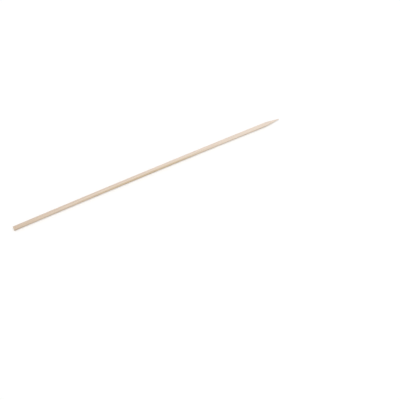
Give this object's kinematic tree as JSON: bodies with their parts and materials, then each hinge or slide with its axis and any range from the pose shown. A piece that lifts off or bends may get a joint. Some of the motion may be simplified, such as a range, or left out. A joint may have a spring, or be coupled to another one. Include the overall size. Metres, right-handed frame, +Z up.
{
  "type": "bamboo skewer",
  "caption": "Slim round bamboo skewer, sawn square at one end and ground to a tapered point at the other, lying flat with a slight bow.",
  "frame": {"origin": "on the surface it lies on, under the middle of its length and of its width", "axes": "+X along the skewer from its sawn face to its point, +Z up, its bow standing out to +Y"},
  "size_m": [0.2, 0.0036, 0.0029],
  "materials": {
    "bamboo": "dry, unvarnished and lightly polished by tumbling, pale cream with fine fibres along it"
  },
  "bodies": {
    "root": {"skewer": "bamboo"}
  },
  "joints": []
}
